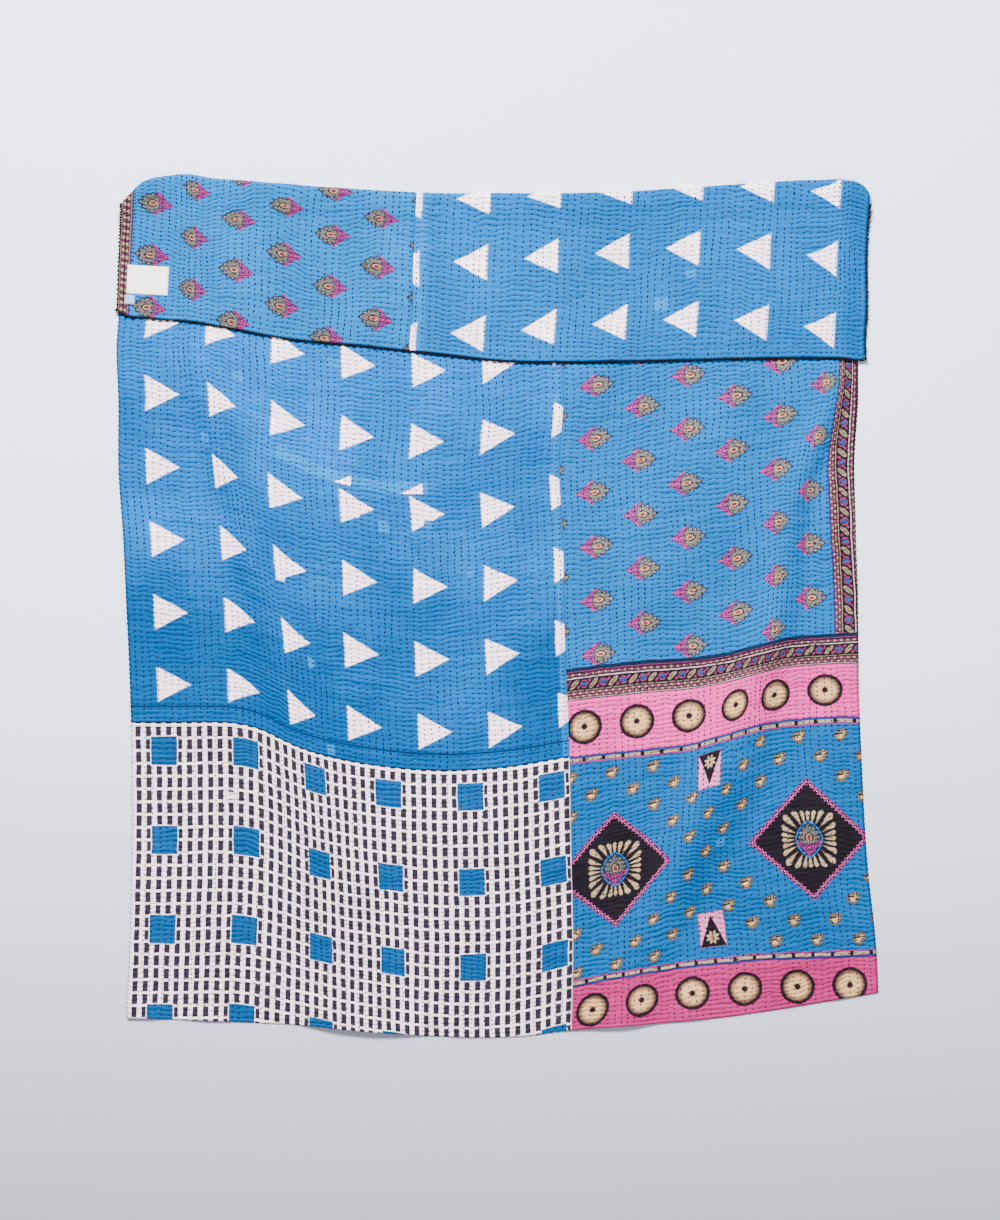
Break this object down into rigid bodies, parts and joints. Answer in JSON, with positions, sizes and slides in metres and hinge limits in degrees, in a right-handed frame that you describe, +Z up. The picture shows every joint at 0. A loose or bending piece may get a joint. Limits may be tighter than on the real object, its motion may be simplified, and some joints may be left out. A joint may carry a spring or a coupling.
{
  "type": "kantha quilt",
  "caption": "Thin patchwork cotton quilt covered in rows of running stitch, laid out face up with its top end turned over to the front as a flap.",
  "frame": {"origin": "on the floor under the middle of the laid-out quilt", "axes": "+X across the quilt to the viewer's right, +Y from the hem to the turned top edge, +Z up from the floor"},
  "size_m": [1.5228, 1.7247, 0.0405],
  "materials": {
    "quilted_cotton": "matt, puckered by rows of running stitch",
    "label_tape": "matt woven tape",
    "satin_tape": "soft satin"
  },
  "bodies": {
    "root": {"quilt": "quilted_cotton", "label": "label_tape", "care_label": "satin_tape"}
  },
  "joints": []
}
